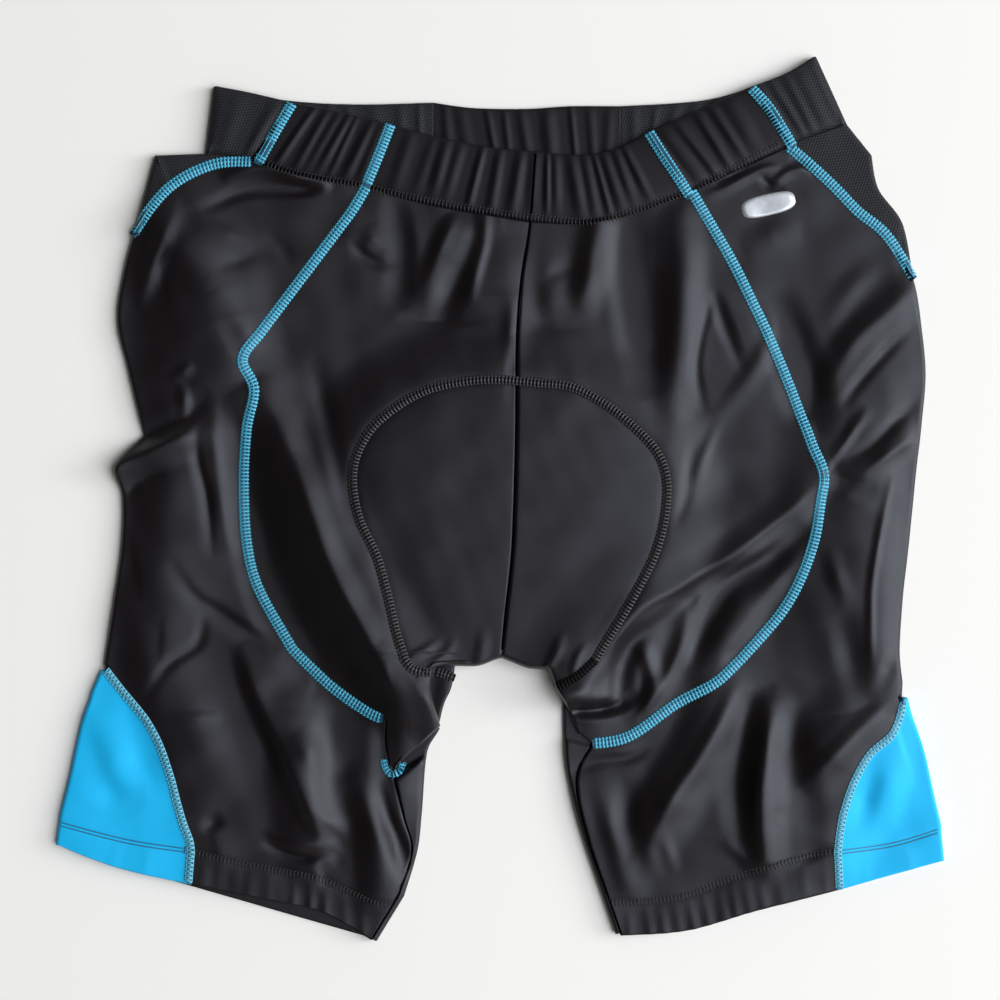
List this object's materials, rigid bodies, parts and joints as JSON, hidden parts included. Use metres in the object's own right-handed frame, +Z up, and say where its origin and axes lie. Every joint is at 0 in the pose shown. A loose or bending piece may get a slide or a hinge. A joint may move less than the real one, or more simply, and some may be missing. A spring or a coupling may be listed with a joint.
{
  "type": "padded cycling shorts, laid flat",
  "caption": "Black stretch cycling shorts laid flat, with blue seams, blue hem gussets, mesh hips, a gathered waistband and a seat pad.",
  "frame": {"origin": "under the middle of the garment, on the surface it lies on", "axes": "+Z up from the surface, +Y towards the waist, +X to the side with the reflective oval"},
  "size_m": [0.5006, 0.4986, 0.0192],
  "materials": {
    "stretch_black": "smooth stretch knit with a soft sheen",
    "mesh_black": "knit mesh",
    "stretch_blue": "smooth stretch knit",
    "pad_fabric": "brushed pad cover",
    "reflective_silver": "reflective film"
  },
  "bodies": {
    "root": {"front_centre_left": "stretch_black", "front_centre_right": "stretch_black", "thigh_left": "stretch_black", "thigh_right": "stretch_black", "hip_mesh_left": "mesh_black", "hip_mesh_right": "mesh_black", "gusset_left": "stretch_blue", "gusset_right": "stretch_blue", "back_left": "stretch_black", "back_right": "stretch_black", "waist_front_left": "stretch_black", "waist_front_right": "stretch_black", "waist_side_left": "stretch_black", "waist_side_right": "stretch_black", "waist_mesh_left": "mesh_black", "waist_mesh_right": "mesh_black", "waist_back": "stretch_black", "seat_pad": "pad_fabric", "reflective_patch": "reflective_silver"}
  },
  "joints": []
}
